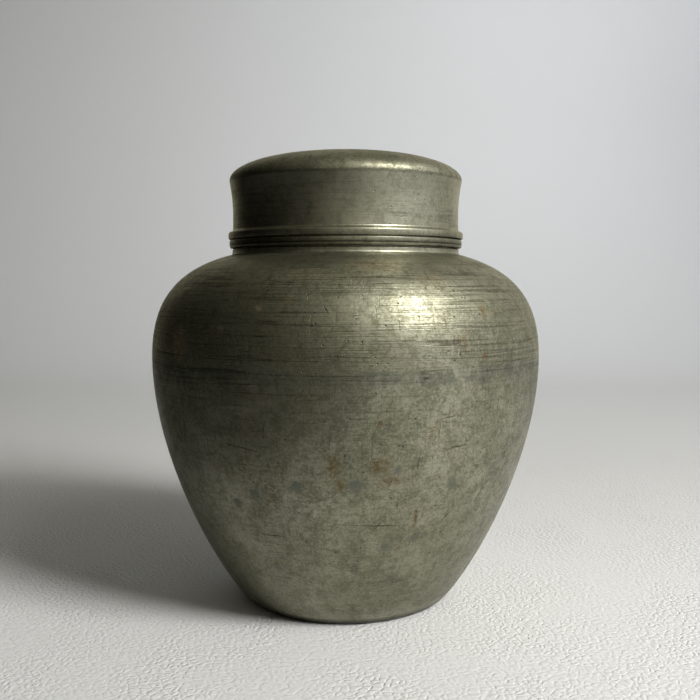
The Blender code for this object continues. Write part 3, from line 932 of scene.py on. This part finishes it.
def wear_and_shade(t, roughness):
    """Soiling and the heel's painted shade, then the bright edges that handling leaves with painted highlights on the
    fillets, and the finished surface.
    """
    wear_and_highlight = t.attribute("wear_and_highlight")
    # The soiling, and with it the heel's painted shade, laid on in the darkest colour.
    t.paint("soot_and_shade", t.math("MINIMUM", t.dirt, 0.92))
    # Bright edges from handling, and painted highlights on the neck's fillet and the lid band's hollow.
    t.paint("bright", wear_and_highlight, t.ramp(t.mottle, 0.30, 0.62, 1.0, 0.4), 0.9)
    rough = t.total(
        roughness,
        t.product(t.greyed, 0.08),
        t.product(t.rust, 0.20),
        t.product(t.math("SUBTRACT", t.grain, 0.5), 0.30),
        t.product(wear_and_highlight, -0.08),
        t.product(t.math("SUBTRACT", t.streaks, 0.5), t.cut, -0.45),
    )
    rough = t.math("MAXIMUM", rough, 0.20, clamp=True)
    t.surface(t.colour, rough, t.height, 0.001, t.math("MULTIPLY_ADD", t.rust, -0.35, 1.0))


# How each pewter finish differs from the plain one
PLAIN = {"base": "plain", "roughness": 0.40, "patina": 1.0, "stains": 1.0, "pits": 1.0, "marks": 1.0, "seed": 0.0}
PEWTERS = {
    "body_pewter": {"roughness": 0.42},
    "lid_pewter": {
        "base": "bright", "patina": 0.55, "roughness": 0.32, "stains": 0.6, "pits": 0.7, "marks": 0.8, "seed": 3.0
    },
    "dome_pewter": {"roughness": 0.42, "stains": 1.2, "pits": 1.2, "marks": 0.4, "patina": 1.2, "seed": 5.0},
    "band_pewter": {"roughness": 0.36, "pits": 0.5, "marks": 0.5, "patina": 1.2, "seed": 2.0},
    "clean_pewter": {"base": "clean", "roughness": 0.30, "stains": 0.15, "pits": 0.3, "patina": 0.30, "seed": 8.0},
}


def pewter(tree, key):
    """Turned, clouded, stained and worn pewter; only the body has known scratches and stains."""
    look = types.SimpleNamespace(**{**PLAIN, **PEWTERS[key]})
    body = key == "body_pewter"
    t = Pewter(tree, look.seed)
    turn(t, look.marks, body)
    cloud(t, look.base, look.patina)
    stain(t, look.patina, look.stains, look.pits, body)
    if body:
        scratch(t)
    wear_and_shade(t, look.roughness)


def solder(tree):
    """Solder: smooth, brighter than the metal round it, and a little lumpy."""
    colours = bpy.context.scene.caddy_colours
    t = Tree(tree)
    place = t.place()
    lumps = t.noise(place, 1.6, 3.0)
    tint = t.blend(t.ramp(lumps, 0.35, 0.65, 0.0, 0.8), colours.solder, colours.dark)
    t.surface(tint, t.math("MULTIPLY_ADD", t.noise(place, 0.4, 3.0), 0.25, 0.28), lumps, 0.00015, 1.0)


def leathery(tree):
    """A pale sweep with a faint grain like coarse paper or leather, with painted shade on its front and left that only
    the metal's reflections see.
    """
    t = Tree(tree)
    place = t.place()
    ripple = t.node("ShaderNodeTexNoise", {"Vector": place, "Scale": 0.35}).outputs[1]
    wavy = t.vector("ADD", place, t.scaled(ripple, 1.5))
    pebbles = t.cells(wavy, 1.9, "DISTANCE_TO_EDGE").outputs["Distance"]
    creases = t.cells(t.vector("MULTIPLY", wavy, (0.16, 0.34, 0.3)), 1.0, "DISTANCE_TO_EDGE").outputs["Distance"]
    firm = t.ramp(t.noise(place, 35.0, 2.0), 0.35, 0.65, 0.35, 1.1)
    grain = t.total(t.product(t.ramp(pebbles, 0.0, 0.30), firm), t.ramp(creases, 0.0, 0.12, 0.0, 0.4))
    x, y, _ = t.split(place)
    near = t.ramp(y, 260.0, 60.0)
    # Painted shade: to the metal's reflections only, the floor to the front and left turns dark.
    mirrored = t.node("ShaderNodeLightPath").outputs["Is Glossy Ray"]
    to_the_left = t.total(t.product(x, -0.85), t.product(y, -0.53))
    mirror_shade = t.product(mirrored, t.ramp(to_the_left, 20.0, 150.0, 0.0, 0.86))
    tint = t.blend(mirror_shade, bpy.context.scene.caddy_colours.floor, (0.0, 0.0, 0.0))
    t.surface(tint, 0.62, t.product(grain, near), 0.00013)


def finish(key):
    """The finish of that name, made the first time it is asked for."""
    material = bpy.data.materials.get(key)
    if material is None:
        material = bpy.data.materials.new(key)
        tree = emptied(material)
        if key in PEWTERS:
            pewter(tree, key)
        else:
            {"solder": solder, "sweep_finish": leathery}[key](tree)
    return material


# Operators: one for each piece or group of like pieces, and one for the stage

SOLDER_LATHE = {"spacing": 0.002, "depth": 0.0}  # solder isn't turned


class CADDY_OT_body(bpy.types.Operator):
    """Turn the belly and the shoulder"""

    bl_idname = "caddy.body"
    bl_label = "Body"

    def execute(self, context):
        sizes = context.scene.caddy_sizes
        metal = finish("body_pewter")
        turned("belly", lower_body_line(sizes), "jar", "aged_pewter", metal, "lower_body", 1.0, BODY_MIDDLE)
        turned("shoulder", upper_body_line(sizes), "jar", "aged_pewter", metal, "upper_body", 1.0, BODY_MIDDLE)
        return {"FINISHED"}


class CADDY_OT_base(bpy.types.Operator):
    """Lay the base plate on the turned-in foot and solder its edge underneath"""

    bl_idname = "caddy.base"
    bl_label = "Base"

    def execute(self, context):
        sizes = context.scene.caddy_sizes
        metal = finish("clean_pewter")
        turned("base_disc", base_plate_line(), "jar", "sheltered_pewter", metal, "base_plate", 7.0)
        edge = sizes.foot_radius - sizes.foot_width
        outside = at(edge + 0.0001, BASE_LOW[2] - 0.00001)
        bead = bead_line(outside, -0.0011, -0.0003)
        rough = {**SOLDER_LATHE, "unevenness": 0.0002}
        turned("base_solder", bead, "jar", "sheltered_pewter", finish("solder"), seed=9.0, **rough)
        return {"FINISHED"}


class CADDY_OT_neck(bpy.types.Operator):
    """Turn the neck and the collar that the lid rests on"""

    bl_idname = "caddy.neck"
    bl_label = "Neck and Collar"

    def execute(self, context):
        clean, band, fit = finish("clean_pewter"), finish("band_pewter"), {"unevenness": 0.00004}
        turned("neck", neck_line(), "jar", "sheltered_pewter", clean, "neck_tube", 11.0, **fit)
        turned("collar", collar_line(), "jar", "worn_pewter", band, "collar_ring", 12.0, **fit)
        return {"FINISHED"}


class CADDY_OT_lid(bpy.types.Operator):
    """Turn the lid's wall, rim and dome"""

    bl_idname = "caddy.lid"
    bl_label = "Lid"

    def execute(self, context):
        sizes = context.scene.caddy_sizes
        shared = {"seed": 14.0, "middle": LID_MIDDLE, "unevenness": 0.00008}
        side, band, dome = (finish(f"{key}_pewter") for key in ("lid", "band", "dome"))
        turned("lid_side", lid_wall_line(sizes), "lid", "aged_pewter", side, "lid_wall", **shared)
        turned("lid_band", lid_rim_line(sizes), "lid", "worn_pewter", band, "lid_rim", **shared)
        turned("lid_dome", lid_top_line(sizes), "lid", "aged_pewter", dome, "lid_top", **shared)
        return {"FINISHED"}


class CADDY_OT_inner_lid(bpy.types.Operator):
    """Turn the inner lid's plate, plug and knob"""

    bl_idname = "caddy.inner_lid"
    bl_label = "Inner Lid"

    def execute(self, context):
        clean, body, slot = finish("clean_pewter"), "inner_lid", "sheltered_pewter"
        turned("inner_plate", plate_line(), body, slot, clean, "inner_lid_plate", 18.0, unevenness=0.00005)
        turned("inner_plug", plug_line(), body, slot, clean, "inner_lid_plug", 19.0, unevenness=0.00004)
        turned("inner_knob", knob_line(), body, "worn_pewter", clean, "inner_lid_knob", 20.0, unevenness=0.0)
        foot = at(0.0038, PLATE_HIGH[2] - 0.00001)
        bead = bead_line(foot, 0.0006, 0.0005)
        turned("knob_solder", bead, body, slot, finish("solder"), seed=21.0, **SOLDER_LATHE, unevenness=0.0001)
        return {"FINISHED"}


class StageSettings(bpy.types.PropertyGroup):
    """The camera, the lights and the sweep."""

    camera_distance: length("Camera distance", "From the caddy's axis", 0.263)
    camera_height: length("Camera height", "Above the floor", 0.0963)
    camera_side: bpy.props.FloatProperty(
        name="Camera side", description="To the right of the axis", default=0.0013, unit="LENGTH", subtype="DISTANCE"
    )
    camera_pitch: slope("Camera pitch", "Below the horizon", 4.79)
    lens: bpy.props.FloatProperty(name="Lens", description="Focal length in millimetres", default=44.23, min=1)
    key_power: power("Key power", 1.0)
    gleam_power: power("Gleam power", 3.3)
    low_power: power("Low key power", 2.3)
    key_size: length("Key size", "Width of the key light", 0.24)
    wash_power: power("Wash power", 1.6)
    sky: share("Sky", "Strength of the room in the metal", 1.0, 10.0)
    fill: share("Fill", "Strength of the room's light on the sweep", 0.25, 10.0)


KEY_PLACE = Vector((0.417, -0.32925, 0.608))  # to the right of the camera and above the caddy
KEY_TARGET = Vector((0, 0, 0.08))
WARM = (1.0, 0.99, 0.96)
PALER_WARM = (1.0, 0.99, 0.97)
COOL = (0.89, 0.93, 1.0)
CAMERA_GREY = (0.50, 0.50, 0.50)  # what the camera sees past the sweep


def area_light(name, place, target, size, power, tint):
    light = bpy.data.lights.new(name, "AREA")
    light.shape = "DISK"
    light.size = size
    light.energy = power
    light.color = tint
    obj = bpy.data.objects.new(name, light)
    bpy.context.scene.collection.objects.link(obj)
    obj.location = place
    obj.rotation_euler = (Vector(target) - Vector(place)).to_track_quat("-Z", "Y").to_euler()
    return obj


class CADDY_OT_stage(bpy.types.Operator):
    """Set the sweep, the lights and the camera"""

    bl_idname = "caddy.stage"
    bl_label = "Stage"

    def execute(self, context):
        stage = context.scene.caddy_stage
        self.sweep()
        self.light(stage)
        camera = bpy.data.cameras.new("camera")
        camera.sensor_width = 36
        camera.lens = stage.lens
        camera.clip_start = 0.01
        view = bpy.data.objects.new("camera", camera)
        view.location = (stage.camera_side, -stage.camera_distance, stage.camera_height)
        view.rotation_euler = (math.pi / 2 - stage.camera_pitch, 0, 0)
        context.scene.collection.objects.link(view)
        context.scene.camera = view
        return {"FINISHED"}

    def sweep(self):
        """A floor, and the curve and wall that it runs into, which the metal doesn't mirror."""
        half, front, back, top, curve = 2.5, -1.6, 0.80, 2.4, 0.30
        floor = [at(front, 0), at(-0.6, 0), at(0, 0), at(back - curve, 0)]
        wall = bend(at(back - curve, 0), at(back, 0), at(back, curve), 20) + [at(back, top)]
        material = finish("sweep_finish")
        for name, points in (("floor", floor), ("backdrop", wall)):
            mesh = bmesh.new()
            rows = [[mesh.verts.new((side, point.x, point.y)) for point in points] for side in (-half, half)]
            for i in range(len(points) - 1):
                mesh.faces.new((rows[0][i], rows[1][i], rows[1][i + 1], rows[0][i + 1]))
            data = bpy.data.meshes.new(name)
            mesh.to_mesh(data)
            mesh.free()
            data.shade_smooth()
            data.materials.append(material)
            piece = bpy.data.objects.new(name, data)
            bpy.context.scene.collection.objects.link(piece)
            piece.visible_glossy = name == "floor"

    def light(self, stage):
        """A soft key from the right, washes that only the sweep takes, and a room that is dark on the left."""
        area_light("key", KEY_PLACE, KEY_TARGET, stage.key_size, stage.key_power, WARM)
        gleam = area_light("gleam", KEY_PLACE, KEY_TARGET, stage.key_size, stage.gleam_power, WARM)
        gleam.visible_diffuse = False
        low = area_light("low_key", (0.56, -0.42, 0.46), KEY_TARGET, 0.30, stage.low_power, PALER_WARM)
        low.data.spread = math.radians(100)
        wash = area_light("wash", (0.50, -0.20, 1.00), (0.24, 0.80, 0.38), 0.30, stage.wash_power, COOL)
        wash.data.spread = math.radians(76)
        for lamp in (low, wash):
            lamp.visible_glossy = False
            lamp.visible_camera = False
        bpy.context.scene.world = self.room(stage)
        bpy.context.scene.view_settings.view_transform = "Standard"

    def room(self, stage):
        """A room that is bright on the right and behind, for the metal to mirror."""
        world = bpy.data.worlds.new("studio")
        t = Tree(emptied(world))
        x, y, _ = t.split(t.node("ShaderNodeTexCoord").outputs["Generated"])
        right = t.math("POWER", t.math("MULTIPLY_ADD", x, 0.57, 0.57, clamp=True), 1.9)
        right = t.product(right, t.ramp(y, -0.1, 0.6, 1.0, 0.5))
        behind = t.product(t.ramp(y, 0.60, 0.98), t.ramp(x, -1.0, 0.3, 0.6, 1.0))
        level = t.total(0.003, t.product(right, 0.90), t.product(behind, 0.38))
        tint = t.scaled(t.blend(right, (1.0, 0.94, 0.66), (1.0, 1.0, 0.98)), level)
        path = t.node("ShaderNodeLightPath").outputs
        tint = t.blend(path["Is Camera Ray"], tint, CAMERA_GREY)
        fill = t.math("MULTIPLY_ADD", path["Is Diffuse Ray"], stage.fill - stage.sky, stage.sky)
        shade = t.node("ShaderNodeBackground", {"Color": tint, "Strength": fill})
        t.node("ShaderNodeOutputWorld", {0: shade.outputs[0]})
        return world


PIECE_OPERATORS = (CADDY_OT_body, CADDY_OT_base, CADDY_OT_neck, CADDY_OT_lid, CADDY_OT_inner_lid, CADDY_OT_stage)


class CADDY_PT_panel(bpy.types.Panel):
    """Lists the caddy's pieces, sizes and colours"""

    bl_idname = "CADDY_PT_panel"
    bl_label = "Pewter Caddy"
    bl_space_type = "VIEW_3D"
    bl_region_type = "UI"
    bl_category = "Caddy"

    def draw(self, context):
        for operator in PIECE_OPERATORS:
            self.layout.operator(operator.bl_idname)
        for group in (context.scene.caddy_sizes, context.scene.caddy_colours, context.scene.caddy_stage):
            box = self.layout.box()
            for key in group.__annotations__:
                box.prop(group, key)


CLASSES = (CaddySizes, CaddyColours, StageSettings, *PIECE_OPERATORS, CADDY_PT_panel)


def register():
    for cls in CLASSES:
        bpy.utils.register_class(cls)
    bpy.types.Scene.caddy_sizes = bpy.props.PointerProperty(type=CaddySizes)
    bpy.types.Scene.caddy_colours = bpy.props.PointerProperty(type=CaddyColours)
    bpy.types.Scene.caddy_stage = bpy.props.PointerProperty(type=StageSettings)


def unregister():
    del bpy.types.Scene.caddy_stage
    del bpy.types.Scene.caddy_colours
    del bpy.types.Scene.caddy_sizes
    for cls in reversed(CLASSES):
        bpy.utils.unregister_class(cls)


def main():
    register()
    bpy.ops.caddy.body()
    bpy.ops.caddy.base()
    bpy.ops.caddy.neck()
    bpy.ops.caddy.lid()
    bpy.ops.caddy.inner_lid()
    bpy.ops.caddy.stage()


if __name__ == "__main__":
    main()
